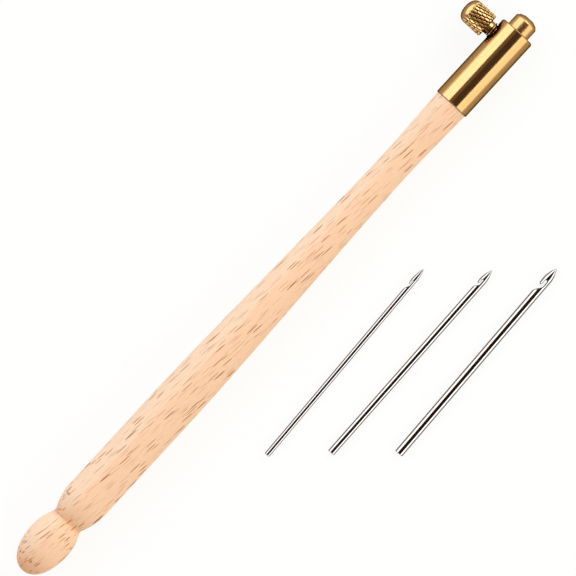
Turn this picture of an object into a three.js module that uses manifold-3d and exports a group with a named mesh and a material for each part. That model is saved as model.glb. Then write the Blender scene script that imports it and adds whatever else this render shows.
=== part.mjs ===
// Tambour hook: a turned beech handle with a brass ferrule, a needle chuck and a knurled
// clamp screw, and the three hooked needles that fit it, laid loose beside the handle.
// Millimetres, +Z up. The handle lies along X on the plane Z = 0, chuck towards +X, with the
// clamp screw pointing to +Y and the needles on the -Y side.
import * as THREE from "three";
import { mergeVertices } from "three/addons/utils/BufferGeometryUtils.js";
import Module from "manifold-3d";

// Handle, lengths along X in the order in which they follow from the ball's tip
const ballLength = 6.75; // tip to the ball's widest ring
const ballRadius = 4.0;
const ballFullness = 0.67; // how blunt the tip is: 0.55 would be an ellipse
const ballToNeck = 4.65;
const neckRadius = 2.75;
const neckRounding = 0.3; // how far to each side the V of the neck is rounded
const neckToBelly = 4.9;
const bellyRadius = 4.02;
const bellyLength = 21.7; // the straight stretch that the hand holds
const taperLength = 55.6; // belly to waist
const taperStartPull = 13.9; // how long the taper stays level after the belly
const taperEndPull = 12.1; // and before the waist
const waistRadius = 2.74;
const flareLength = 14.0; // waist to ferrule
const flareStartPull = 4.2;
const flareEndPull = 4.9;
const flareEndRise = 0.16; // how much the flare still rises over its end pull
const seatRadius = 3.09; // wood against the ferrule

// Ferrule, chuck and the fits between them and the handle's tenon
const ferruleLength = 16.7;
const ferruleRadius = 3.29;
const ferruleWall = 1.07;
const ferruleEdge = 0.2; // chamfer of the outer front edge
const ferruleBackEdge = 0.1;
const fitClearance = 0.05; // radial play of the glued tenon and of the pressed chuck
const glueGap = 0.05; // between the ferrule's back end and the wooden shoulder
const tenonChamfer = 0.3;
const chuckDepth = 9.2; // chuck rod inside the ferrule
const chuckGap = 0.3; // chuck rod to tenon
const chuckBackEdge = 0.25;
const noseLength = 2.9; // chuck rod in front of the ferrule
const noseChamfer = 0.5;
const noseCone = 0.28; // height of the flat cone from the chamfer to the mouth
const mouthRing = 0.1; // flat ring round the needle bore
const boreClearance = 0.075; // radial play of the thickest needle in the bore
const wellDepth = 21.0; // how deep a needle goes in, from the nose
const drillAngle = THREE.MathUtils.degToRad(59); // half angle of the well's conical end

// Clamp screw, M3, along Y
const threadRadius = 1.5;
const threadClearance = 0.05;
const screwSetback = 2.76; // screw axis behind the ferrule's front face
const tipRetract = 0.1; // stud tip clear of the needle bore at rest
const tipChamfer = 0.3;
const spigotRadius = 0.9; // stud end that the knob is fixed on
const spigotLength = 2.1;
const spigotClearance = 0.05;
const knobStandoff = 1.09; // knob above the ferrule's surface at rest
const knobRadius = 2.25;
const knobLength = 5.15; // underside to the top of the dome
const domeHeight = 1.7;
const knobNeckRadius = 1.26;
const knobNeckLength = 0.65;
const knurlTeeth = 21;
const knurlDepth = 0.2;
const knurlAngle = THREE.MathUtils.degToRad(22); // groove to the screw's axis
const knobEdge = 0.15;

// Needles. The notch that makes the hook is cut into the side that faces the handle: it runs
// from the ramp down to the neck and ends in a round throat under the barb. The barb's back is
// ground down towards its tip like a claw.
const smallWire = 1.0; // diameters
const mediumWire = 1.3;
const largeWire = 1.55;
const needleLength = 41.5;
const needleButtChamfer = 0.08;
const pointLength = 2.3; // tapered lancet from the full wire to the tip
const pointFullness = 1.6; // 1 would be a straight cone
const tipRadius = 0.06;
const clawLength = 0.75; // how far along the barb its back is ground down
const clawDrop = 0.17; // how far below the wire's side the barb's tip lies
const smallHook = {
  barbFromTip: 3.5,
  throatLength: 0.88,
  neckThickness: 0.42,
  barbThickness: 0.36,
  rampLength: 1.5,
};
const mediumHook = {
  barbFromTip: 3.13,
  throatLength: 1.02,
  neckThickness: 0.53,
  barbThickness: 0.38,
  rampLength: 1.2,
};
const largeHook = {
  barbFromTip: 3.75,
  throatLength: 1.2,
  neckThickness: 0.45,
  barbThickness: 0.48,
  rampLength: 1.95,
};

// Where the needles lie: middle of the first, from the ball's tip and the handle's axis, the
// steps to the next, and how far each is turned
const firstNeedleX = 63.2;
const firstNeedleY = -16.5;
const needleStagger = 7.7;
const needleSpacing = 8.25;
const smallTurn = THREE.MathUtils.degToRad(2.5);
const mediumTurn = THREE.MathUtils.degToRad(1.2);
const largeTurn = THREE.MathUtils.degToRad(2.1);
const needles = [
  { name: "needle_small", diameter: smallWire, hook: smallHook, turn: smallTurn },
  { name: "needle_medium", diameter: mediumWire, hook: mediumHook, turn: mediumTurn },
  { name: "needle_large", diameter: largeWire, hook: largeHook, turn: largeTurn },
];

// Places that follow from the sizes above
const neckX = ballLength + ballToNeck;
const bellyX = neckX + neckToBelly;
const taperX = bellyX + bellyLength;
const waistX = taperX + taperLength;
const seatX = waistX + flareLength;
const ferruleX = seatX + glueGap;
const ferruleFrontX = ferruleX + ferruleLength;
const noseX = ferruleFrontX + noseLength;
const boreOfFerrule = ferruleRadius - ferruleWall;
const chuckRadius = boreOfFerrule - fitClearance;
const tenonEndX = ferruleFrontX - chuckDepth - chuckGap;
const needleBore = Math.max(smallWire, mediumWire, largeWire) / 2 + boreClearance;
const screwX = ferruleFrontX - screwSetback;
const studTipY = needleBore + tipRetract;
const knobUnderY = ferruleRadius + knobStandoff;
const knobNeckY = knobUnderY - knobNeckLength;
const studTopY = knobNeckY - spigotClearance;
const restHeight = Math.max(ballRadius, bellyRadius, ferruleRadius);

const ROUND = 48; // facets round the handle and the brass
const FINE = 24; // facets round the needles

const beech = new THREE.MeshStandardMaterial({ color: 0xf2c99f, roughness: 0.6, metalness: 0 });
const brass = new THREE.MeshStandardMaterial({ color: 0xd9ab5c, roughness: 0.25, metalness: 1 });
const polished = new THREE.MeshStandardMaterial({ color: 0xd8d9db, roughness: 0.12, metalness: 1 });

const wasm = await Module();
wasm.setup();

// A closed geometry as a solid that can be cut.
function toSolid(geometry) {
  const bare = geometry.clone();
  bare.deleteAttribute("normal");
  bare.deleteAttribute("uv");
  const merged = mergeVertices(bare, 1e-4);
  return new wasm.Manifold(
    new wasm.Mesh({
      numProp: 3,
      vertProperties: merged.attributes.position.array,
      triVerts: new Uint32Array(merged.index.array),
    }),
  );
}

function toGeometry(solid) {
  const { vertProperties, triVerts } = solid.getMesh();
  const geometry = new THREE.BufferGeometry();
  geometry.setAttribute("position", new THREE.BufferAttribute(vertProperties, 3));
  geometry.setIndex(new THREE.BufferAttribute(triVerts, 1));
  return geometry;
}

function cut(geometry, ...tools) {
  const rest = tools.reduce((left, tool) => left.subtract(toSolid(tool)), toSolid(geometry));
  return toGeometry(rest);
}

// One list of [along, radius] points from single points and lists of them, without repeats.
function chain(...pieces) {
  const points = pieces.flatMap((piece) => (Array.isArray(piece[0]) ? piece : [piece]));
  return points.filter((point, i) => {
    if (i === 0) return true;
    const [along, radius] = points[i - 1];
    return Math.hypot(point[0] - along, point[1] - radius) > 1e-6;
  });
}

function bezier(start, startPull, endPull, end, steps) {
  const curve = new THREE.CubicBezierCurve(
    new THREE.Vector2(...start),
    new THREE.Vector2(...startPull),
    new THREE.Vector2(...endPull),
    new THREE.Vector2(...end),
  );
  return curve.getPoints(steps).map((p) => [p.x, p.y]);
}

// An arc that is level at its crest and drops or rises to the other end, both ways along X.
function crestArc(crest, foot, steps) {
  const run = foot[0] - crest[0];
  const fall = crest[1] - foot[1];
  const radius = (run * run + fall * fall) / (2 * fall);
  const points = [];
  for (let i = 0; i <= steps; i += 1) {
    const x = (run * i) / steps;
    points.push([crest[0] + x, crest[1] - radius + Math.sqrt(radius * radius - x * x)]);
  }
  return points;
}

function turnAlongY(profile, facets) {
  return new THREE.LatheGeometry(
    profile.map(([along, radius]) => new THREE.Vector2(radius, along)),
    facets,
  );
}

function turnAlongX(profile, facets) {
  return turnAlongY(profile, facets).rotateZ(-Math.PI / 2);
}

// Turned beech handle: ball end, V neck, belly, taper, waist, shoulder, tenon and needle well.
function handle() {
  const tenonRadius = boreOfFerrule - fitClearance;
  const wellEndX = noseX - wellDepth;
  const drillPoint = needleBore / Math.tan(drillAngle);
  const toNeck = crestArc([ballLength, ballRadius], [neckX, neckRadius], 9);
  const fromNeck = crestArc([bellyX, bellyRadius], [neckX, neckRadius], 9).reverse();
  const vLeft = toNeck.filter(([x]) => x < neckX - neckRounding);
  const vRight = fromNeck.filter(([x]) => x > neckX + neckRounding);
  const neckCurve = new THREE.QuadraticBezierCurve(
    new THREE.Vector2(...vLeft.at(-1)),
    new THREE.Vector2(neckX, neckRadius),
    new THREE.Vector2(...vRight[0]),
  );
  return turnAlongX(
    chain(
      bezier(
        [0, 0],
        [0, ballRadius * ballFullness],
        [ballLength / 2, ballRadius],
        [ballLength, ballRadius],
        11,
      ),
      vLeft,
      neckCurve.getPoints(4).map((p) => [p.x, p.y]),
      vRight,
      [taperX, bellyRadius],
      bezier(
        [taperX, bellyRadius],
        [taperX + taperStartPull, bellyRadius],
        [waistX - taperEndPull, waistRadius],
        [waistX, waistRadius],
        14,
      ),
      bezier(
        [waistX, waistRadius],
        [waistX + flareStartPull, waistRadius],
        [seatX - flareEndPull, seatRadius - flareEndRise],
        [seatX, seatRadius],
        6,
      ),
      [seatX, tenonRadius],
      [tenonEndX - tenonChamfer, tenonRadius],
      [tenonEndX, tenonRadius - tenonChamfer],
      [tenonEndX, needleBore],
      [wellEndX, needleBore],
      [wellEndX - drillPoint, 0],
    ),
    ROUND,
  );
}

// The tapped hole that the clamp screw runs in, from the bore's axis out to +Y.
function screwHole() {
  const depth = ferruleRadius + threadRadius;
  return new THREE.CylinderGeometry(
    threadRadius + threadClearance,
    threadRadius + threadClearance,
    depth,
    32,
  ).translate(screwX, depth / 2, 0);
}

function ferrule() {
  const tube = turnAlongX(
    chain(
      [ferruleX, boreOfFerrule],
      [ferruleX, ferruleRadius - ferruleBackEdge],
      [ferruleX + ferruleBackEdge, ferruleRadius],
      [ferruleFrontX - ferruleEdge, ferruleRadius],
      [ferruleFrontX, ferruleRadius - ferruleEdge],
      [ferruleFrontX, boreOfFerrule],
      [ferruleX, boreOfFerrule],
    ),
    ROUND,
  );
  return cut(tube, screwHole());
}

function chuck() {
  const backX = ferruleFrontX - chuckDepth;
  const rod = turnAlongX(
    chain(
      [backX, needleBore],
      [backX, chuckRadius - chuckBackEdge],
      [backX + chuckBackEdge, chuckRadius],
      [noseX - noseCone - noseChamfer, chuckRadius],
      [noseX - noseCone, chuckRadius - noseChamfer],
      [noseX, needleBore + mouthRing],
      [noseX, needleBore],
      [backX, needleBore],
    ),
    ROUND,
  );
  return cut(rod, screwHole());
}

// Threaded stud of the clamp screw, with a plain spigot that the knob is fixed on.
function clampStud() {
  return turnAlongY(
    chain(
      [studTipY, 0],
      [studTipY, threadRadius - tipChamfer],
      [studTipY + tipChamfer, threadRadius],
      [studTopY, threadRadius],
      [studTopY, spigotRadius],
      [studTopY + spigotLength, spigotRadius],
      [studTopY + spigotLength, 0],
    ),
    32,
  );
}

// A turned closed profile whose points can be knurled. A knurled ring has its radius lowered
// at every second facet, and the next ring at the facets between: the raised corners are the
// tops of the diamonds and the lowered ones are the crossings of the grooves. Each square of
// the grid is split along its groove.
function knurledTurn(profile, facets) {
  const position = [];
  const index = [];
  profile.forEach(([along, radius, knurlRow], ring) => {
    for (let i = 0; i < facets; i += 1) {
      const low = knurlRow !== undefined && (i + knurlRow) % 2 === 0;
      const r = low ? radius - knurlDepth : radius;
      const angle = (2 * Math.PI * i) / facets;
      position.push(r * Math.sin(angle), along, r * Math.cos(angle));
    }
    if (ring === 0) return;
    for (let i = 0; i < facets; i += 1) {
      const next = (i + 1) % facets;
      const a = (ring - 1) * facets + i;
      const b = (ring - 1) * facets + next;
      const c = ring * facets + next;
      const d = ring * facets + i;
      const grooveFromA = knurlRow !== undefined && (i + knurlRow) % 2 === 1;
      if (grooveFromA) index.push(a, b, c, a, c, d);
      else index.push(a, b, d, b, c, d);
    }
  });
  const geometry = new THREE.BufferGeometry();
  geometry.setAttribute("position", new THREE.Float32BufferAttribute(position, 3));
  geometry.setIndex(index);
  return geometry;
}

// Domed thumb knob: blind hole for the spigot, plain neck, knurled barrel and smooth dome.
function clampKnob() {
  const facets = 2 * knurlTeeth;
  const holeRadius = spigotRadius + spigotClearance;
  const holeEndY = studTopY + spigotLength + spigotClearance;
  const domeY = knobUnderY + knobLength - domeHeight;
  const knurlStartY = knobUnderY + knobEdge;
  const diamondPitch = (2 * Math.PI * knobRadius) / knurlTeeth;
  const rows = Math.round((domeY - knurlStartY) / (diamondPitch / 2 / Math.tan(knurlAngle)));
  const knurled = [];
  for (let row = 0; row <= rows; row += 1)
    knurled.push([knurlStartY + ((domeY - knurlStartY) * row) / rows, knobRadius, row]);
  const dome = [];
  const domeSteps = 7;
  for (let i = 1; i <= domeSteps; i += 1) {
    const lift = (Math.PI / 2) * (i / domeSteps);
    dome.push([domeY + domeHeight * Math.sin(lift), knobRadius * Math.cos(lift)]);
  }
  return knurledTurn(
    [
      [holeEndY, 0],
      [holeEndY, holeRadius],
      [knobNeckY, holeRadius],
      [knobNeckY, knobNeckRadius],
      [knobUnderY, knobNeckRadius],
      [knobUnderY, knobRadius - knobEdge - knurlDepth],
      ...knurled,
      ...dome,
    ],
    facets,
  );
}

// One needle along X, its tip at x = 0 and its hook open to +Y.
function needle(diameter, hook) {
  const radius = diameter / 2;
  const pointSteps = 7;
  const point = [];
  for (let i = 0; i <= pointSteps; i += 1) {
    const toTip = i / pointSteps;
    const swell = 1 - toTip ** pointFullness;
    point.push([pointLength * (toTip - 1), tipRadius + (radius - tipRadius) * swell]);
  }
  const wire = turnAlongX(
    chain(
      [-needleLength, 0],
      [-needleLength, radius - needleButtChamfer],
      [-needleLength + needleButtChamfer, radius],
      point,
      [0, 0],
    ),
    FINE,
  );
  return cut(wire, hookNotch(radius, hook));
}

// The notch under the barb and the barb's ground back, drawn in the plane of the hook and cut
// right through the wire.
function hookNotch(radius, hook) {
  const neckY = hook.neckThickness - radius;
  const barbY = radius - hook.barbThickness;
  const throatRadius = (barbY - neckY) / 2;
  const barbX = -hook.barbFromTip;
  const throatX = barbX + hook.throatLength - throatRadius;
  const rampX = barbX - hook.rampLength;
  const rampPull = hook.rampLength / 3;
  const clawTipY = (barbY + radius - clawDrop) / 2; // middle of the barb's blunt tip
  const clear = radius + clawDrop; // the outline closes outside the wire
  const outline = new THREE.Shape();
  outline.moveTo(rampX, clear);
  outline.lineTo(rampX, radius);
  outline.bezierCurveTo(rampX + rampPull, radius, barbX - rampPull, neckY, barbX, neckY);
  outline.lineTo(throatX, neckY);
  outline.absarc(throatX, neckY + throatRadius, throatRadius, -Math.PI / 2, Math.PI / 2, false);
  outline.lineTo(barbX + hook.barbThickness / 2, barbY);
  outline.quadraticCurveTo(barbX, barbY, barbX, clawTipY);
  outline.quadraticCurveTo(barbX, radius - clawDrop, barbX + clawLength / 3, radius - clawDrop / 2);
  outline.lineTo(barbX + clawLength, radius);
  outline.lineTo(barbX + clawLength, clear);
  outline.closePath();
  return new THREE.ExtrudeGeometry(outline, {
    depth: 2 * clear,
    bevelEnabled: false,
    curveSegments: 8,
  }).translate(0, 0, -clear);
}

function named(name, geometry, material) {
  const mesh = new THREE.Mesh(geometry, material);
  mesh.name = name;
  return mesh;
}

const tool = new THREE.Group();
tool.add(
  named("handle", handle(), beech),
  named("ferrule", ferrule(), brass),
  named("chuck", chuck(), brass),
);
const screw = new THREE.Group();
screw.position.x = screwX;
screw.add(
  named("clamp_stud", clampStud(), brass),
  named("clamp_knob", clampKnob(), brass),
);
tool.add(screw);
tool.position.z = restHeight;

const set = new THREE.Group();
set.add(tool);
needles.forEach(({ name, diameter, hook, turn }, i) => {
  const laid = named(name, needle(diameter, hook), polished);
  laid.rotation.z = turn;
  laid.position.set(
    firstNeedleX + i * needleStagger + (needleLength / 2) * Math.cos(turn),
    firstNeedleY - i * needleSpacing + (needleLength / 2) * Math.sin(turn),
    diameter / 2,
  );
  set.add(laid);
});

// The origin is under the middle of the whole set, on the plane that it lies on.
const reach = new THREE.Box3().setFromObject(set, true);
const middle = reach.getCenter(new THREE.Vector3());
set.position.set(-middle.x, -middle.y, -reach.min.z);
const part = new THREE.Group();
part.add(set);

export default part;
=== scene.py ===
import bmesh
import bpy
import numpy as np
from mathutils import Matrix, Vector


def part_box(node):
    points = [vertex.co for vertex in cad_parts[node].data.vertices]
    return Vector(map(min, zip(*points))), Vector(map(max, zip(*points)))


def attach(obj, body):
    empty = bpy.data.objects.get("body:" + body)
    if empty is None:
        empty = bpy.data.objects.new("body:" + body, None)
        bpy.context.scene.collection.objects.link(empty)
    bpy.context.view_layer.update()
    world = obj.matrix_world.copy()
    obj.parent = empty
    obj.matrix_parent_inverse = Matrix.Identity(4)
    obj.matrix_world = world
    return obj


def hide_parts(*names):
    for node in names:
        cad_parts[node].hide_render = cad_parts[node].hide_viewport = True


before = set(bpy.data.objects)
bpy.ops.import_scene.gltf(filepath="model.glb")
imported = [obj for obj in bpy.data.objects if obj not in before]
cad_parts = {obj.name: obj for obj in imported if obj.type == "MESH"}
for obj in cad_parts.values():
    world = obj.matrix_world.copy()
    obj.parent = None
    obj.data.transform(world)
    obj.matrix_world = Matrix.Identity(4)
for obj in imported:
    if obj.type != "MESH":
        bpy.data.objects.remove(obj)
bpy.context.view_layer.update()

# Handle
# One piece of beech, turned between centres and left bare: ball end, V neck, belly, long taper,
# waist and shoulder. Its tenon is glued into the ferrule, and a well is drilled for the needle.
mm = 0.001
ball_length = 6.75
ball_radius = 4.0
ball_fullness = 0.67
ball_to_neck = 4.65
neck_radius = 2.75
neck_rounding = 0.3
neck_crease_shade = 0.55
neck_crease_shade_length = 0.8
neck_line_width = 0.1
neck_line_on_top = 0.3
neck_to_belly = 4.9
belly_radius = 4.02
belly_length = 21.7
taper_length = 55.6
taper_start_pull = 13.9
taper_end_pull = 12.1
waist_radius = 2.74
flare_length = 14.0
flare_start_pull = 4.2
flare_end_pull = 4.9
flare_end_rise = 0.16
seat_radius = 3.09
tenon_radius = 2.17
tenon_chamfer = 0.3
tenon_to_chuck = 0.3
well_radius = 0.85
well_bottom = 106.25
well_point = 0.5
steps_round_handle = 160

neck_at = ball_length + ball_to_neck
belly_at = neck_at + neck_to_belly
taper_at = belly_at + belly_length
waist_at = taper_at + taper_length
seat_at = waist_at + flare_length

# The lengths above, in millimetres, count along the tool from the tip of the ball.
handle_low, handle_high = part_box("handle")
handle_middle = (handle_low + handle_high) / 2
tool_tip = np.array([handle_low.x, handle_middle.y, handle_middle.z]) / mm
tenon_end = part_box("chuck")[0].x / mm - tool_tip[0] - tenon_to_chuck


def curve(start, start_pull, end_pull, end, steps):
    """Cubic curve: (1-t)^3 start + 3 (1-t)^2 t start_pull + 3 (1-t) t^2 end_pull + t^3 end."""
    t = np.linspace(0, 1, steps)[:, None]
    s = 1 - t
    first = s**3 * np.array(start) + 3 * s**2 * t * np.array(start_pull)
    return first + 3 * s * t**2 * np.array(end_pull) + t**3 * np.array(end)


def crest_arc(crest, foot, steps):
    """Circle that is level at its crest and passes the foot: radius = (run^2 + fall^2) / (2 fall),
    height = crest - radius + sqrt(radius^2 - x^2)."""
    run = foot[0] - crest[0]
    fall = crest[1] - foot[1]
    radius = (run**2 + fall**2) / (2 * fall)
    x = np.linspace(0, run, steps)
    return np.stack([crest[0] + x, crest[1] - radius + np.sqrt(radius**2 - x**2)], axis=1)


def rounded(start, corner, end, steps):
    """The corner between two points as a quadratic curve, (1-t)^2 start + 2 (1-t) t corner + t^2 end."""
    t = np.linspace(0, 1, steps)[:, None]
    return (1 - t) ** 2 * start + 2 * (1 - t) * t * np.array(corner) + t**2 * end


def chain(*parts):
    """Points and arrays of points as one profile, without the repeats where they join."""
    points = np.concatenate([np.atleast_2d(part) for part in parts])
    moved = np.linalg.norm(np.diff(points, axis=0), axis=1) > 1e-6
    return points[np.concatenate([[True], moved])]


def solid(name, points, faces, sharp=30, **shades):
    """A closed mesh in metres from points in millimetres. Points that meet, as at a pole or where a
    profile closes, are merged. Edges bent by more than the sharp angle stay crisp. Each of the
    shades is a value per point that the material reads."""
    mesh = bpy.data.meshes.new(name)
    mesh.from_pydata((points.reshape(-1, 3) * mm).tolist(), [], faces.reshape(-1, 4).tolist())
    for shade, values in shades.items():
        layer = mesh.attributes.new(shade, "FLOAT", "POINT")
        layer.data.foreach_set("value", np.ravel(values).astype(np.float32))
    shape = bmesh.new()
    shape.from_mesh(mesh)
    bmesh.ops.remove_doubles(shape, verts=shape.verts, dist=1e-7)
    shape.to_mesh(mesh)
    shape.free()
    mesh.shade_smooth()
    mesh.set_sharp_from_angle(angle=np.radians(sharp))
    made = bpy.data.objects.new(name, mesh)
    bpy.context.scene.collection.objects.link(made)
    return made


def turned(along, radius, around, axis="X"):
    """Surface of revolution as points and faces. The point of row i at angle a lies at along[i] on
    the axis and at radius (cos a, sin a) across it, counted Y, Z round X or Z, X round Y. The
    radius is one value for a row, or one for each angle of it."""
    angle = np.linspace(0, 2 * np.pi, around, endpoint=False)
    radius = np.asarray(radius).reshape(len(along), -1) * np.ones(around)
    on_axis = np.asarray(along)[:, None] * np.ones(around)
    points = np.stack([on_axis, radius * np.cos(angle), radius * np.sin(angle)], axis=-1)
    if axis == "Y":
        points = np.roll(points, 1, axis=-1)
    here = np.arange(radius.size).reshape(radius.shape)
    beside = np.roll(here, -1, axis=1)
    faces = np.stack([here[:-1], beside[:-1], beside[1:], here[1:]], axis=-1)
    return points, faces


def fit(made, node, body, material):
    """The piece stands for its node, moves with its body and takes the finish of its slot."""
    made.data.materials.append(material)
    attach(made, body)
    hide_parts(node)


def add(tree, kind, inputs=None, **options):
    """One shader node. Its inputs are plain values, or outputs of other nodes, which are linked."""
    made = tree.nodes.new("ShaderNode" + kind)
    for option, value in options.items():
        setattr(made, option, value)
    for socket, value in (inputs or {}).items():
        if isinstance(value, bpy.types.NodeSocket):
            tree.links.new(value, made.inputs[socket])
        else:
            made.inputs[socket].default_value = value
    return made


def calc(tree, operation, *values):
    """The output of one Math node."""
    return add(tree, "Math", dict(enumerate(values)), operation=operation).outputs[0]


def ease(tree, value, low, high, to_low=0.0, to_high=1.0):
    """A smooth step: to_low where the value is below low, to_high where it is above high."""
    inputs = {"Value": value, "From Min": low, "From Max": high, "To Min": to_low, "To Max": to_high}
    return add(tree, "MapRange", inputs, interpolation_type="SMOOTHSTEP").outputs["Result"]


def blend_colour(tree, factor, first, second, how="MIX"):
    """The first colour where the factor is 0 and the second, mixed in the way named, where it is 1."""
    inputs = {"Fac": factor, "Color1": first, "Color2": second}
    return add(tree, "MixRGB", inputs, blend_type=how).outputs["Color"]


def srgb(red, green, blue):
    """A colour as it is seen on screen, 0 to 255, as the linear colour that a shader takes."""
    seen = np.array([red, green, blue]) / 255
    linear = np.where(seen < 0.04045, seen / 12.92, ((seen + 0.055) / 1.055) ** 2.4)
    return (*linear.tolist(), 1.0)


def finish(name, **plain):
    """A material whose Principled shader has the plain values set on its own sockets."""
    made = bpy.data.materials.new(name)
    made.use_nodes = True
    shader = made.node_tree.nodes["Principled BSDF"]
    for socket, value in plain.items():
        shader.inputs[socket.replace("_", " ")].default_value = value
    return made, made.node_tree, shader


def stretched(tree, x, y, z, sizes):
    """Coordinates divided by a pattern's size along each axis, in millimetres."""
    parts = [calc(tree, "DIVIDE", value, size) for value, size in zip((x, y, z), sizes)]
    return add(tree, "CombineXYZ", dict(zip("XYZ", parts))).outputs["Vector"]


def noise(tree, place, sizes, detail):
    """The value, 0 to 1, of a noise pattern with lumps of the sizes given."""
    inputs = {"Vector": stretched(tree, *place, sizes), "Detail": detail}
    return add(tree, "TexNoise", inputs).outputs["Fac"]


def attribute(tree, name):
    """The value that a mesh carries under this name."""
    return add(tree, "Attribute", attribute_name=name).outputs["Fac"]


def roughen(tree, shader, height, distance, strength):
    """Fine relief on a finish: the pattern's height times the distance in millimetres."""
    bump = add(tree, "Bump", {"Height": height, "Distance": distance * mm, "Strength": strength})
    tree.links.new(bump.outputs["Normal"], shader.inputs["Normal"])


def millimetres(tree):
    """The Object coordinates as three values in millimetres."""
    place = add(tree, "TexCoord").outputs["Object"]
    scaled = add(tree, "VectorMath", {0: place, "Scale": 1 / mm}, operation="SCALE").outputs[0]
    split = add(tree, "SeparateXYZ", {"Vector": scaled})
    return split.outputs["X"], split.outputs["Y"], split.outputs["Z"]


def bare_beech():
    """Sanded beech. The grain runs a few degrees off the handle's axis and bends off further
    towards the ball, and the side of the clamp screw is painted paler, as painted light from that
    side. Rays show as short lens-shaped flecks: each is the core of one cell of a cell pattern,
    long with the grain, thin across it and less than a millimetre deep. The share called bare of
    a layer's cells has no fleck. The end-grain colour darkens the faces that turn towards the
    ball's tip, as end grain and painted shade together, and as painted shade a band round the V
    neck, which also has a patchy brown line along its bottom on the screw side. Two smudges mark
    the ball and the belly."""
    made, tree, shader = finish("bare_beech", Roughness=0.52, Specular_IOR_Level=0.22)
    x, y, z = millimetres(tree)
    grain_slope = 0.08
    bend_from = -35.0
    bend = 0.002
    painted_light_from = 0.6
    painted_light_full = 1.5
    painted_light_edge_wander = 2.0
    streak_size = (40, 1.6, 1.6)
    fibre_size = (6, 0.2, 0.2)
    mottle_size = (0.4, 0.25, 0.25)
    layer_shift = 37.0
    faintest = 0.4
    past = calc(tree, "MINIMUM", calc(tree, "SUBTRACT", x, bend_from), 0.0)
    drift = calc(tree, "MULTIPLY", calc(tree, "MULTIPLY", past, past), -bend)
    across = calc(tree, "ADD", y, calc(tree, "ADD", calc(tree, "MULTIPLY", x, grain_slope), drift))

    wood = srgb(238, 197, 159)
    painted_light_pale = srgb(236, 205, 170)
    ochre = srgb(142, 78, 0)
    brown = srgb(160, 80, 12)
    end_wood_and_shade = srgb(222, 170, 126)
    neck_brown = srgb(160, 104, 64)

    grain = (x, across, z)
    broad = noise(tree, grain, streak_size, detail=2)
    # Painted light: from a little past the axis on the clamp screw's side the wood turns to a paler
    # colour, standing for the light that falls from that side. Its edge wanders with the broad streaks.
    wander = calc(tree, "MULTIPLY", calc(tree, "SUBTRACT", broad, 0.5), painted_light_edge_wander)
    painted_light_reach = calc(tree, "ADD", calc(tree, "SUBTRACT", y, tool_tip[1]), wander)
    painted_light_side = ease(tree, painted_light_reach, painted_light_from, painted_light_full)
    colour = blend_colour(tree, painted_light_side, wood, painted_light_pale)
    fibre = ease(tree, noise(tree, grain, fibre_size, detail=3), 0.38, 0.62)
    fibre_tone = ease(tree, fibre, 0, 0.8, 0.93, 1.015)
    mottle_tone = ease(tree, noise(tree, grain, mottle_size, detail=2), 0.35, 0.65, 0.955, 1.03)
    tone = calc(tree, "MULTIPLY", fibre_tone, mottle_tone)
    shade = add(tree, "CombineXYZ", dict.fromkeys("XYZ", tone))
    colour = blend_colour(tree, 1.0, colour, shade.outputs["Vector"], "MULTIPLY")

    # End grain and painted shade: the end-grain colour darkens the faces that turn towards the ball's tip,
    # and a band of painted shade round the V neck.
    end_grain_shade_share = ease(tree, attribute(tree, "end_grain"), 0.05, 0.8)
    colour = blend_colour(tree, end_grain_shade_share, colour, end_wood_and_shade)
    # A patchy brown line along the V neck's bottom, on the clamp screw's side.
    patchy = ease(tree, broad, 0.4, 0.6, 0.3, 0.8)
    neck_line_share = calc(tree, "MULTIPLY", patchy, attribute(tree, "neck_line"))
    colour = blend_colour(tree, neck_line_share, colour, neck_brown)

    dark = 0.0
    layers = [
        {"size": (6.0, 0.36, 1.5), "edge": (0.24, 0.18), "bare": 0.32, "depth": 0.95, "colour": brown},
        {"size": (6.6, 0.40, 1.6), "edge": (0.22, 0.17), "bare": 0.4, "depth": 1.0, "colour": ochre},
        {"size": (5.6, 0.19, 0.9), "edge": (0.28, 0.20), "bare": 0.1, "depth": 0.6, "colour": brown},
    ]
    for i, layer in enumerate(layers):
        moved = calc(tree, "ADD", across, layer_shift * i)
        cell_place = stretched(tree, x, moved, z, layer["size"])
        cells = add(tree, "TexVoronoi", {"Vector": cell_place, "Scale": 1.0})
        pick = add(tree, "SeparateColor", {"Color": cells.outputs["Color"]})
        lens = ease(tree, cells.outputs["Distance"], *layer["edge"])
        here = calc(tree, "GREATER_THAN", pick.outputs["Red"], layer["bare"])
        strength = ease(tree, pick.outputs["Green"], 0, 1, faintest * layer["depth"], layer["depth"])
        fleck = calc(tree, "MULTIPLY", calc(tree, "MULTIPLY", lens, here), strength)
        colour = blend_colour(tree, fleck, colour, layer["colour"])
        dark = calc(tree, "MAXIMUM", dark, fleck)
    marks = [
        {"place": (15.0, 3.1, 2.6), "size": (0.3, 0.65, 0.9), "depth": 0.6},
        {"place": (2.2, -0.1, 3.0), "size": (0.45, 0.25, 0.6), "depth": 0.8},
    ]
    for mark in marks:
        centre = tool_tip + mark["place"]
        aside = [calc(tree, "SUBTRACT", value, at) for value, at in zip((x, y, z), centre)]
        away = add(tree, "VectorMath", {0: stretched(tree, *aside, mark["size"])}, operation="LENGTH")
        smudge = ease(tree, away.outputs["Value"], 1, 0.3, 0, mark["depth"])
        colour = blend_colour(tree, smudge, colour, brown)
    tree.links.new(colour, shader.inputs["Base Color"])

    sanded = ease(tree, fibre, 0, 1, 0.48, 0.56)
    rough = calc(tree, "ADD", calc(tree, "MULTIPLY", dark, 0.12), sanded)
    tree.links.new(rough, shader.inputs["Roughness"])
    height = calc(tree, "SUBTRACT", calc(tree, "MULTIPLY", fibre, 0.4), dark)
    roughen(tree, shader, height, distance=0.012, strength=0.6)
    return made


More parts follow.
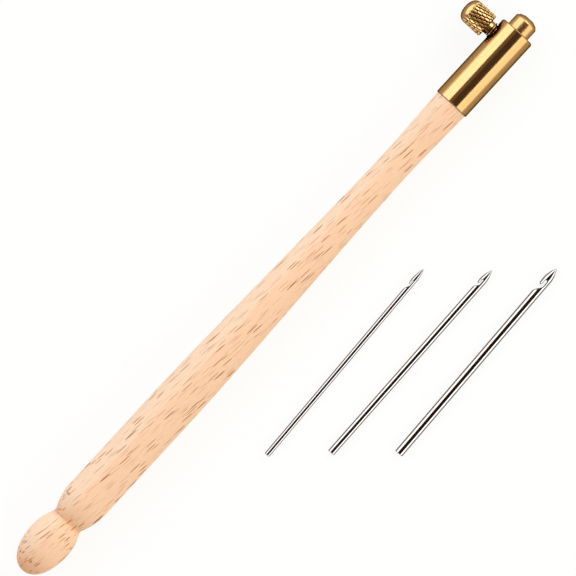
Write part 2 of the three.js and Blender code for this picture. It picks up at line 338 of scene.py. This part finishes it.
to_neck = crest_arc((ball_length, ball_radius), (neck_at, neck_radius), steps=22)
from_neck = crest_arc((belly_at, belly_radius), (neck_at, neck_radius), steps=22)[::-1]
v_left = to_neck[to_neck[:, 0] < neck_at - neck_rounding]
v_right = from_neck[from_neck[:, 0] > neck_at + neck_rounding]
handle_profile = chain(
    curve(
        (0, 0),
        (0, ball_radius * ball_fullness),
        (ball_length / 2, ball_radius),
        (ball_length, ball_radius),
        steps=34,
    ),
    v_left,
    rounded(v_left[-1], (neck_at, neck_radius), v_right[0], steps=9),
    v_right,
    curve(
        (taper_at, belly_radius),
        (taper_at + taper_start_pull, belly_radius),
        (waist_at - taper_end_pull, waist_radius),
        (waist_at, waist_radius),
        steps=60,
    ),
    curve(
        (waist_at, waist_radius),
        (waist_at + flare_start_pull, waist_radius),
        (seat_at - flare_end_pull, seat_radius - flare_end_rise),
        (seat_at, seat_radius),
        steps=24,
    ),
    (seat_at, tenon_radius),
    (tenon_end - tenon_chamfer, tenon_radius),
    (tenon_end, tenon_radius - tenon_chamfer),
    (tenon_end, well_radius),
    (well_bottom, well_radius),
    (well_bottom - well_point, 0),
)
slope = np.gradient(handle_profile, axis=0)
# Faces that turn towards the ball's tip get end grain and painted shade together. Round the V neck's
# bottom a band of painted shade is added, which reaches further on the ball's side.
facing_back = np.clip(slope[:, 1] / np.hypot(slope[:, 0], slope[:, 1]), 0, 1)
past_neck = handle_profile[:, 0] - neck_at
from_neck_line = past_neck / np.where(past_neck < 0, neck_crease_shade_length, neck_rounding)
end_grain = np.clip(facing_back + neck_crease_shade * np.exp(-(from_neck_line**2)), 0, 1)
points, faces = turned(handle_profile[:, 0], handle_profile[:, 1], around=steps_round_handle)
screw_side = np.clip(neck_line_on_top + points[..., 1] / neck_radius, 0, 1)
neck_line = np.exp(-((past_neck / neck_line_width) ** 2))[:, None] * screw_side
handle = solid(
    "handle_turned",
    points + tool_tip,
    faces,
    sharp=40,
    end_grain=np.repeat(end_grain, steps_round_handle),
    neck_line=neck_line,
)
fit(handle, "handle", "handle_assembly", bare_beech())

# Ferrule
# A brass tube, turned and polished, glued over the handle's tenon and pressed round the chuck.
# Its edges are broken, and the hole for the clamp screw is tapped through one wall.
ferrule_radius = 3.29
ferrule_bore = 2.22
back_edge = 0.1
front_edge = 0.2
bore_edge = 0.06
hole_radius = 1.55
seat_shade_radius = 3.1
seat_shade_darkest = 0.85
ferrule_low, ferrule_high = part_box("ferrule")
screw_low, screw_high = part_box("clamp_stud")
screw_middle = (screw_low + screw_high) / 2 / mm


def bright_brass(name, along, shade_painted=False, dulled=0.0):
    """Turned brass. Fine rings from the lathe lie square to the axis named, over soft patches
    where handling has dulled it. Where asked for, painted shade from a value that the mesh carries
    darkens the colour to brown and roughens the gloss. The value of dulled makes all of it rougher."""
    made, tree, shader = finish(
        name,
        Metallic=0.97,
        Specular_Tint=srgb(40, 22, 8),
        Specular_IOR_Level=0.2,
    )
    x, y, z = millimetres(tree)
    brass = srgb(228, 184, 121)
    tarnished = srgb(214, 166, 98)
    groove_brown = srgb(62, 40, 22)
    patch_size = (2.4, 2.4, 2.4)
    ring_size = {"X": (0.035, 9, 9), "Y": (9, 0.035, 9)}[along]
    dull = ease(tree, noise(tree, (x, y, z), patch_size, detail=4), 0.42, 0.72)
    colour = blend_colour(tree, calc(tree, "MULTIPLY", dull, 0.35), brass, tarnished)
    rough = ease(tree, dull, 0, 1, 0.17 + dulled, 0.23 + dulled)
    if shade_painted:
        # Painted shade: the mesh's value darkens the brass to brown and roughens it in thread roots, knurl
        # grooves, the seat round the screw and under the knob.
        groove = attribute(tree, "groove")
        colour = blend_colour(tree, ease(tree, groove, 0.2, 0.65), colour, groove_brown)
        matt_in_shade = ease(tree, groove, 0.5, 1, 0, 0.2)
        rough = calc(tree, "ADD", calc(tree, "MULTIPLY", rough, 0.7), matt_in_shade)
    tree.links.new(colour, shader.inputs["Base Color"])
    tree.links.new(rough, shader.inputs["Roughness"])
    rings = noise(tree, (x, y, z), ring_size, detail=2)
    roughen(tree, shader, rings, distance=0.002, strength=0.35)
    return made


def cut(piece, tool):
    """Takes the tool's shape out of the piece and removes the tool."""
    taking = piece.modifiers.new("cut", "BOOLEAN")
    taking.object = tool
    taking.solver = "EXACT"
    shape = bmesh.new()
    shape.from_object(piece, bpy.context.evaluated_depsgraph_get())
    piece.modifiers.remove(taking)
    shape.to_mesh(piece.data)
    shape.free()
    bpy.data.objects.remove(tool)


def screw_hole():
    """The tapped hole along Y, from the tool's axis outwards."""
    depth = ferrule_radius + hole_radius
    along = (0, 0, depth, depth)
    points, faces = turned(along, (0, hole_radius, hole_radius, 0), around=96, axis="Y")
    return solid("screw_hole", points + (screw_middle[0], tool_tip[1], tool_tip[2]), faces)


ferrule_back = ferrule_low.x / mm
ferrule_front = ferrule_high.x / mm
between_edges = np.linspace(ferrule_back + back_edge, ferrule_front - front_edge, 60)
outside = np.stack([between_edges, np.full_like(between_edges, ferrule_radius)], axis=1)
ferrule_profile = chain(
    (ferrule_back, ferrule_bore),
    (ferrule_back, ferrule_radius - back_edge),
    outside,
    (ferrule_front, ferrule_radius - front_edge),
    (ferrule_front, ferrule_bore + bore_edge),
    (ferrule_front - bore_edge, ferrule_bore),
    (ferrule_back, ferrule_bore),
)
points, faces = turned(ferrule_profile[:, 0], ferrule_profile[:, 1], around=192)
ferrule = solid("ferrule_tube", points + (0, tool_tip[1], tool_tip[2]), faces)
cut(ferrule, screw_hole())
ferrule.data.set_sharp_from_angle(angle=np.radians(30))
placed = np.zeros(3 * len(ferrule.data.vertices))
ferrule.data.vertices.foreach_get("co", placed)
placed = placed.reshape(-1, 3) / mm
# Painted shade: round the clamp screw's hole, on the screw's side, the ferrule darkens towards the hole,
# where the knob shades it.
from_screw = np.hypot(placed[:, 0] - screw_middle[0], placed[:, 2] - screw_middle[2])
seat_shade_width = seat_shade_radius - hole_radius
seat_painted_shade = seat_shade_darkest * np.clip((seat_shade_radius - from_screw) / seat_shade_width, 0, 1)
seat_painted_shade[placed[:, 1] < tool_tip[1]] = 0
ferrule.data.attributes.new("groove", "FLOAT", "POINT").data.foreach_set("value", seat_painted_shade)
fit(ferrule, "ferrule", "handle_assembly", bright_brass("ferrule_brass", "X", shade_painted=True))

# Chuck
# A brass rod pressed into the front of the ferrule, drilled through for the needle's shank and
# cross-tapped for the clamp screw. Its nose stands out with a chamfer and a flat cone.
chuck_radius = 2.17
chuck_back_edge = 0.25
nose_chamfer = 0.5
nose_cone = 0.28
nose_edge = 0.05
mouth_ring = 0.1
needle_bore = 0.85
chuck_low, chuck_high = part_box("chuck")
chuck_back = chuck_low.x / mm
nose_end = chuck_high.x / mm
chamfer_at = nose_end - nose_cone - nose_chamfer
cylinder = np.linspace(chuck_back + chuck_back_edge, chamfer_at - nose_edge, 40)
chuck_profile = chain(
    (chuck_back, needle_bore),
    (chuck_back, chuck_radius - chuck_back_edge),
    np.stack([cylinder, np.full_like(cylinder, chuck_radius)], axis=1),
    (chamfer_at + nose_edge, chuck_radius - nose_edge),
    (nose_end - nose_cone, chuck_radius - nose_chamfer),
    (nose_end, needle_bore + mouth_ring),
    (nose_end, needle_bore),
    (chuck_back, needle_bore),
)
points, faces = turned(chuck_profile[:, 0], chuck_profile[:, 1], around=160)
chuck = solid("chuck_rod", points + (0, tool_tip[1], tool_tip[2]), faces)
cut(chuck, screw_hole())
chuck.data.set_sharp_from_angle(angle=np.radians(30))
fit(chuck, "chuck", "handle_assembly", bright_brass("chuck_brass", "X", dulled=0.07))

# Clamp screw's stud
# Brass, threaded M3 with a right-hand thread, chamfered at the tip that presses on the needle.
# The knob is fixed on its plain spigot.
thread_radius = 1.5
pitch = 0.5
thread_depth = 0.27
crest_flat = pitch / 8
flank_slope = 1.732
stud_tip_chamfer = 0.3
spigot_radius = 0.9
spigot_length = 2.1
crest_above_ferrule = 0.13
steps_round_stud = 120
stud_tip = screw_low.y / mm
spigot_end = screw_high.y / mm
spigot_at = spigot_end - spigot_length


def thread(y, angle):
    """Radius of a 60 degree screw thread: the distance d to the middle of the nearest crest counts
    from y = crest + pitch * angle / 360 degrees, and the radius falls by flank_slope, the tangent
    of 60 degrees, times d past the crest's flat, to the root."""
    crest_at = tool_tip[1] + ferrule_radius + crest_above_ferrule
    turns = (y[:, None] - crest_at) / pitch - angle / (2 * np.pi)
    d = np.abs(turns - np.round(turns)) * pitch
    fall = np.clip((d - crest_flat / 2) * flank_slope, 0, thread_depth)
    chamfer = thread_radius - stud_tip_chamfer + (y[:, None] - stud_tip)
    return np.minimum(thread_radius - fall, chamfer)


threaded = np.linspace(stud_tip, spigot_at, 150)
round_stud = np.linspace(0, 2 * np.pi, steps_round_stud, endpoint=False)
shank = thread(threaded, round_stud)
spigot = np.array([(spigot_at, spigot_radius), (spigot_end, spigot_radius), (spigot_end, 0)])
stud_y = np.concatenate([[stud_tip], threaded, spigot[:, 0]])
tip_middle = np.zeros((1, steps_round_stud))
stud_radius = np.concatenate([tip_middle, shank, spigot[:, 1:] * np.ones(steps_round_stud)])
# Painted shade: the deeper a point lies below the thread's crest, the darker it is, so the thread's roots
# are dark.
stud_groove = np.clip((thread_radius - stud_radius) / thread_depth, 0, 1) ** 2
points, faces = turned(stud_y, stud_radius, around=steps_round_stud, axis="Y")
stud = solid(
    "clamp_stud_thread",
    points + (screw_middle[0], 0, screw_middle[2]),
    faces,
    groove=stud_groove,
)
fit(stud, "clamp_stud", "clamp_stud", bright_brass("stud_brass", "Y", shade_painted=True))

# Clamp screw's knob
# Brass, turned with a plain neck and a domed end, its barrel rolled with a diamond knurl that
# runs out on the dome. It turns with the screw between finger and thumb.
knob_radius = 2.25
knob_length = 5.15
dome_height = 1.7
dome_fullness = 2.3
knob_neck_radius = 1.26
knob_neck_length = 0.65
knob_neck_edge = 0.04
knob_neck_fillet = 0.08
knob_bore_radius = 0.95
knob_bore_depth = 2.15
knob_edge = 0.15
knurl_teeth = 21
knurl_depth = 0.2
knurl_angle = np.radians(22)
knurl_fade = 0.75
groove_width = (0.5, 0.3)
crown = (0.15, 0.05)
knob_neck_shade_mean = 0.42
knob_neck_shade_swing = 0.35
fillet_shade = 0.4
diamond_length = 2 * np.pi * knob_radius / knurl_teeth / np.tan(knurl_angle)
steps_per_diamond = 24
knob_neck_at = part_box("clamp_knob")[0].y / mm
knob_under = knob_neck_at + knob_neck_length
dome_at = knob_under + knob_length - dome_height


def knurl(y, angle):
    """Depth of a diamond knurl, 0 to 1: two families of grooves cross, at phases teeth * angle / 360
    degrees plus and minus y / diamond_length. With q from 0 midway between two grooves of a family
    to 1 in a groove, the family leaves the lower of a crowned top, 1 - crown q^2, and the groove's
    wall, (1 - q) / width. The product of the two families is the diamond."""
    around = knurl_teeth * angle / (2 * np.pi)
    along = (y[:, None] - knob_under) / diamond_length
    left = 1.0
    for side, width, swell in zip((1, -1), groove_width, crown):
        q = np.abs(2 * np.mod(around + side * along, 1) - 1)
        left = left * np.minimum((1 - q) / width, 1 - swell * q**2)
    return 1 - left


row_step = diamond_length / steps_per_diamond / 2
barrel = np.arange(knob_under + knob_edge, dome_at, row_step)
lift = np.linspace(0, np.pi / 2, 48)
dome_y = dome_at + dome_height * np.sin(lift) ** (2 / dome_fullness)
outer_y = np.concatenate([barrel, dome_y])
dome_radius = knob_radius * np.abs(np.cos(lift)) ** (2 / dome_fullness)
outer_radius = np.concatenate([np.full(len(barrel), knob_radius), dome_radius])
round_knob = np.linspace(0, 2 * np.pi, knurl_teeth * steps_per_diamond, endpoint=False)
fade = np.clip(1 - (outer_y - dome_at) / knurl_fade, 0, 1)[:, None]
# The knurl's depth also paints shade: the finish darkens the grooves by it.
groove = knurl(outer_y, round_knob) * fade**2 * (3 - 2 * fade)
inner = np.array([
    (knob_neck_at + knob_bore_depth, 0),
    (knob_neck_at + knob_bore_depth, knob_bore_radius),
    (knob_neck_at, knob_bore_radius),
    (knob_neck_at, knob_neck_radius - knob_neck_edge),
    (knob_neck_at + knob_neck_edge, knob_neck_radius),
    (knob_under - knob_neck_fillet, knob_neck_radius),
    (knob_under, knob_neck_radius + knob_neck_fillet),
    (knob_under, knob_radius - knob_edge - knurl_depth),
])
on_neck = [0, 0, 0, 1, 1, 1, 0, 0]
on_fillet = [0, 0, 0, 0, 0, 0, 1, 0]
# Painted shade: the neck darkens towards its -X side, and the fillet under the knob is darkened too.
knob_neck_shade = np.clip(knob_neck_shade_mean - knob_neck_shade_swing * np.sin(round_knob), 0, 1)
inner_shade = np.outer(on_neck, knob_neck_shade) + fillet_shade * np.array(on_fillet)[:, None]
inner_radius = inner[:, 1:] * np.ones(len(round_knob))
knob_y = np.concatenate([inner[:, 0], outer_y])
knob_r = np.concatenate([inner_radius, outer_radius[:, None] - knurl_depth * groove])
points, faces = turned(knob_y, knob_r, around=len(round_knob), axis="Y")
knob = solid(
    "clamp_knob_knurled",
    points + (screw_middle[0], 0, screw_middle[2]),
    faces,
    sharp=35,
    groove=np.concatenate([inner_shade, groove]),
)
fit(knob, "clamp_knob", "clamp_knob", bright_brass("knob_brass", "Y", shade_painted=True))

# Needles
# Three sizes of drawn steel wire, nickel plated and polished. The head is ground to a lancet, and
# the notch behind it leaves a barb, whose back is ground down towards its tip like a claw.
needle_length = 41.5
butt_chamfer = 0.08
point_length = 2.3
point_fullness = 1.6
tip_radius = 0.06
claw_length = 0.75
claw_drop = 0.17
wall_lean = 0.1
past_wire = 1.05
needles = {
    "needle_small": {"turn": 2.5, "barb": 3.5, "throat": 0.88, "neck": 0.42, "thick": 0.36, "ramp": 1.5},
    "needle_medium": {"turn": 1.2, "barb": 3.13, "throat": 1.02, "neck": 0.53, "thick": 0.38, "ramp": 1.2},
    "needle_large": {"turn": 2.1, "barb": 3.75, "throat": 1.2, "neck": 0.45, "thick": 0.48, "ramp": 1.95},
}


def polished_steel():
    """Nickel-plated steel, mirror bright, with faint draw lines along the wire."""
    made, tree, shader = finish(
        "polished_steel",
        Metallic=1.0,
        Specular_Tint=srgb(120, 120, 121),
        Specular_IOR_Level=0.5,
    )
    draw_line_size = (6, 0.05, 0.05)
    drawn = ease(tree, noise(tree, millimetres(tree), draw_line_size, detail=3), 0.3, 0.75)
    colour = blend_colour(tree, drawn, srgb(202, 202, 201), srgb(190, 190, 189))
    tree.links.new(colour, shader.inputs["Base Color"])
    tree.links.new(ease(tree, drawn, 0, 1, 0.01, 0.04), shader.inputs["Roughness"])
    roughen(tree, shader, drawn, distance=0.001, strength=0.1)
    return made


def wire(radius):
    """A needle before its hook is cut, tip at x = 0: over the point the radius is that of the tip
    plus (wire - tip) * (1 - t^fullness), with t from 0 at the shoulder to 1 at the tip."""
    t = np.linspace(0, 1, 20)
    swell = tip_radius + (radius - tip_radius) * (1 - t**point_fullness)
    profile = chain(
        (-needle_length, 0),
        (-needle_length, radius - butt_chamfer),
        (-needle_length + butt_chamfer, radius),
        np.stack([point_length * (t - 1), swell], axis=1),
        (0, 0),
    )
    return turned(profile[:, 0], profile[:, 1], around=72)


def notch(radius, hook):
    """Outline of what is ground away, seen along the needle's side: from the ramp down to the neck,
    round the throat, back under the barb, round its blunt tip and off along its back. In a hook,
    barb is how far the barb's tip lies behind the needle's. From there the notch reaches ahead by
    throat and back by ramp. The wire left under it has the thickness neck, the barb thick."""
    neck_y = hook["neck"] - radius
    barb_y = radius - hook["thick"]
    throat_radius = (barb_y - neck_y) / 2
    barb_x = -hook["barb"]
    throat_x = barb_x + hook["throat"] - throat_radius
    ramp_x = barb_x - hook["ramp"]
    pull = hook["ramp"] / 3
    clear = radius + claw_drop
    sweep = np.linspace(-np.pi / 2, np.pi / 2, 20)[:, None]
    half_circle = throat_radius * np.hstack([np.cos(sweep), np.sin(sweep)])
    throat = (throat_x, neck_y + throat_radius) + half_circle
    claw_tip = np.array([barb_x, (barb_y + radius - claw_drop) / 2])
    under = np.array([barb_x + hook["thick"] / 2, barb_y])
    back = np.array([barb_x + claw_length / 3, radius - claw_drop / 2])
    return chain(
        (ramp_x, clear),
        curve(
            (ramp_x, radius),
            (ramp_x + pull, radius),
            (barb_x - pull, neck_y),
            (barb_x, neck_y),
            steps=24,
        ),
        throat,
        rounded(under, (barb_x, barb_y), claw_tip, steps=8),
        rounded(claw_tip, (barb_x, radius - claw_drop), back, steps=8),
        (barb_x + claw_length, radius),
        (barb_x + claw_length, clear),
    )


def notch_tool(outline, radius):
    """The outline as a prism a little deeper than the wire, its two flat ends each one face. Its
    walls lean outwards, by wall_lean times z along the outline's normals. Corners in millimetres,
    first those of the lower end, then those of the upper one."""
    along = np.roll(outline, -1, axis=0) - np.roll(outline, 1, axis=0)
    normals = np.stack([along[:, 1], -along[:, 0]], axis=1)
    outward = normals / np.linalg.norm(along, axis=1, keepdims=True)
    reach = past_wire * radius
    levels = np.array([-reach, reach])[:, None, None]
    leaning = outline + outward * wall_lean * levels
    corners = np.concatenate([leaning, levels * np.ones((2, len(outline), 1))], axis=-1)
    here = np.arange(len(outline))
    before = np.roll(here, 1)
    above = len(outline)
    walls = np.stack([here, before, before + above, here + above], axis=1)
    ends = [here.tolist(), (here[::-1] + above).tolist()]
    return corners.reshape(-1, 3), ends + walls.tolist()


def cutter(points, faces):
    """A closed mesh in metres that is only there to be cut from another."""
    mesh = bpy.data.meshes.new("notch")
    mesh.from_pydata((points * mm).tolist(), [], faces)
    shape = bmesh.new()
    shape.from_mesh(mesh)
    bmesh.ops.recalc_face_normals(shape, faces=shape.faces)
    shape.to_mesh(mesh)
    shape.free()
    made = bpy.data.objects.new("notch", mesh)
    bpy.context.scene.collection.objects.link(made)
    return made


steel = polished_steel()
for node, hook in needles.items():
    low, high = (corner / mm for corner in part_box(node))
    radius = (high.z - low.z) / 2
    points, faces = wire(radius)
    turn = np.array(Matrix.Rotation(np.radians(hook["turn"]), 3, "Z"))
    laid = points @ turn.T
    shift = np.array(low) - laid.reshape(-1, 3).min(axis=0)
    needle = solid(node + "_wire", laid + shift, faces)
    corners, sides = notch_tool(notch(radius, hook), radius)
    cut(needle, cutter(corners @ turn.T + shift, sides))
    needle.data.set_sharp_from_angle(angle=np.radians(25))
    fit(needle, node, node, steel)

# Table and light
# A white table inside a pale tent, dark overhead where the camera looks in. A softbox stands along
# each side of the tool, in an upper and a lower half, with a faint one for the brass's shoulder and
# lamps past both ends. The needles and the knob have lamps of their own, and a fill adds no gloss.
floor_width = 6.0
floor_albedo = 0.88
floor_glow = 0.9
share_in_metal = 0.7
painted_shadow_in_metal = (0.27, 0.20, 0.13, 1)
tool_centre = Vector((0.0, 0.0, 0.004))

floor_mesh = bpy.data.meshes.new("table_top")
half = floor_width / 2
floor_corners = [(-half, -half, 0), (half, -half, 0), (half, half, 0), (-half, half, 0)]
floor_mesh.from_pydata(floor_corners, [], [(0, 1, 2, 3)])
floor = bpy.data.objects.new("table_top", floor_mesh)
bpy.context.scene.collection.objects.link(floor)
table_white, tree, shader = finish("table_white", Roughness=0.9, Specular_IOR_Level=0.0)
shader.inputs["Base Color"].default_value = (floor_albedo, floor_albedo, floor_albedo, 1)
path = add(tree, "LightPath")
mirrored = calc(tree, "MAXIMUM", path.outputs["Is Glossy Ray"], path.outputs["Is Transmission Ray"])
seen = path.outputs["Is Camera Ray"]
# Painted shadow: glossy and transmission rays see the table as a dim brown glow, standing for its shadow
# beside the tool.
shade = blend_colour(tree, mirrored, srgb(255, 255, 253), painted_shadow_in_metal)
glow = add(tree, "Emission", {"Color": shade, "Strength": 1.0})
glow_seen = calc(tree, "MULTIPLY", seen, floor_glow)
glow_mirrored = calc(tree, "MULTIPLY", mirrored, share_in_metal)
factor = calc(tree, "MAXIMUM", glow_seen, glow_mirrored)
mixed = add(tree, "MixShader", {0: factor, 1: shader.outputs[0], 2: glow.outputs[0]})
tree.links.new(mixed.outputs[0], tree.nodes["Material Output"].inputs["Surface"])
floor_mesh.materials.append(table_white)


def light_group(name, members, state):
    """Some of the pieces as a group for a lamp, which lights them alone or leaves them out."""
    group = bpy.data.collections.new(name)
    for piece in members:
        group.objects.link(piece)
    for member in group.collection_objects:
        member.light_linking.link_state = state
    return group


def softbox(name, side, high, low, length, radiance, distance=0.6, along=0.0, group=None):
    """A rectangular lamp that faces the tool from one side, its long edge level, and reaches from
    high to low, in degrees from the zenith. It is shifted along X by the distance named. Its power
    is pi * area * radiance, so that it is seen at that radiance in a mirror."""
    lamp = bpy.data.lights.new(name, "AREA")
    lamp.shape = "RECTANGLE"
    lamp.size = length
    lamp.size_y = 2 * distance * np.tan(np.radians(low - high) / 2)
    brightest = max(radiance)
    lamp.color = np.array(radiance) / brightest
    lamp.energy = np.pi * lamp.size * lamp.size_y * brightest
    made = bpy.data.objects.new(name, lamp)
    tilt = np.radians(low + high) / 2
    away = Vector(side) * np.sin(tilt) + Vector((0, 0, np.cos(tilt)))
    made.location = tool_centre + away * distance + Vector((along, 0, 0))
    level = Vector((0, 0, 1)).cross(Vector(side))
    upward = away.cross(level)
    facing = Matrix((level, upward, away)).transposed().to_4x4()
    made.matrix_world = Matrix.Translation(made.location) @ facing
    made.visible_camera = False
    made.light_linking.receiver_collection = group
    bpy.context.scene.collection.objects.link(made)
    return made


wires = [bpy.data.objects[node + "_wire"] for node in needles]
all_else = light_group("all_but_needles", wires, "EXCLUDE")
softbox("screw_side_upper", (0, 1, 0), 25.5, 48.5, 1.0, (1.86, 1.86, 2.1), along=-0.1, group=all_else)
softbox("screw_side_lower", (0, 1, 0), 48.5, 79, 1.2, (0.96, 0.96, 1.2), along=0.1, group=all_else)
softbox("screw_side_shoulder", (0, 1, 0), 5, 23, 1.0, (0.11, 0.08, 0.045), group=all_else)
softbox("needle_side_upper", (0, -1, 0), 35, 48.5, 1.8, (1.39, 1.39, 1.36), along=0.35, group=all_else)
softbox("needle_side_lower", (0, -1, 0), 48.5, 82, 1.8, (0.49, 0.49, 0.47), along=0.35, group=all_else)
only_needles = light_group("needles_alone", wires, "INCLUDE")
softbox("needles_screw_side", (0, 1, 0), 32, 79, 1.8, (1.7, 1.7, 1.7), along=0.35, group=only_needles)
softbox("needles_far_side", (0, -1, 0), 52, 82, 1.8, (1.7, 1.7, 1.7), along=0.35, group=only_needles)
softbox("softbox_nose_end", (1, 0, 0), 31, 72, 0.8, (2.6, 2.6, 2.6), distance=1.2, group=all_else)
softbox("lamp_ball_end", (-1, 0, 0), 60, 78, 0.3, (4.5, 4.5, 4.5), distance=1.2)
only_knob = light_group("knob_alone", [knob], "INCLUDE")
softbox("knob_overhead", (0, 1, 0), -30, 30, 0.8, (0.26, 0.2, 0.1), group=only_knob)
fill = softbox("fill_needle_side", (0, -1, 0), 25, 75, 2.0, (0.42, 0.42, 0.4), distance=1.2)
fill.visible_glossy = False

tent = bpy.data.worlds.new("tent")
tent.use_nodes = True
tree = tent.node_tree
direction = add(tree, "SeparateXYZ", {"Vector": add(tree, "TexCoord").outputs["Generated"]}).outputs
brightness = add(tree, "ValToRGB", {"Fac": direction["Z"]})
stops = [
    (0.0, (1.0, 1.0, 1.0)),
    (0.16, (0.95, 0.95, 0.95)),
    (0.34, (0.9, 0.9, 0.9)),
    (0.6, (0.9, 0.9, 0.9)),
    (0.72, (0.1, 0.045, 0.018)),
    (0.85, (0.04, 0.016, 0.005)),
    (1.0, (0.03, 0.012, 0.003)),
]
brightness.color_ramp.elements.remove(brightness.color_ramp.elements[1])
for place, colour in stops:
    stop = brightness.color_ramp.elements.new(place) if place else brightness.color_ramp.elements[0]
    stop.color = (*colour, 1)
warm_end = (0.25, 0.2, 0.14, 1)
towards_ball = ease(tree, direction["X"], -0.4, -0.1, 1, 0)
tent_colour = blend_colour(tree, towards_ball, brightness.outputs["Color"], warm_end, "LIGHTEN")
backdrop = tree.nodes["Background"]
tree.links.new(tent_colour, backdrop.inputs["Color"])
tree.links.new(ease(tree, direction["X"], -1, 0, 0.3, 1), backdrop.inputs["Strength"])
bpy.context.scene.world = tent
bpy.context.scene.view_settings.view_transform = "Standard"

# Camera
# Straight above, with a very long lens, and turned so that the handle lies across the picture. The
# frame is 97.92 mm wide, which is 0.17 mm for each of its 576 pixels.
looked_at_x = 2.24
looked_at_y = 11.74
frame_width = 97.92
camera_turn = -47.37

camera = bpy.data.cameras.new("camera")
camera.lens = 400
camera.sensor_width = 36
camera.clip_end = 20
above = frame_width * camera.lens / camera.sensor_width
seen_from = bpy.data.objects.new("camera", camera)
seen_from.location = Vector((looked_at_x, looked_at_y, tool_tip[2] + above)) * mm
seen_from.rotation_euler = (0, 0, np.radians(camera_turn))
bpy.context.scene.collection.objects.link(seen_from)
bpy.context.scene.camera = seen_from
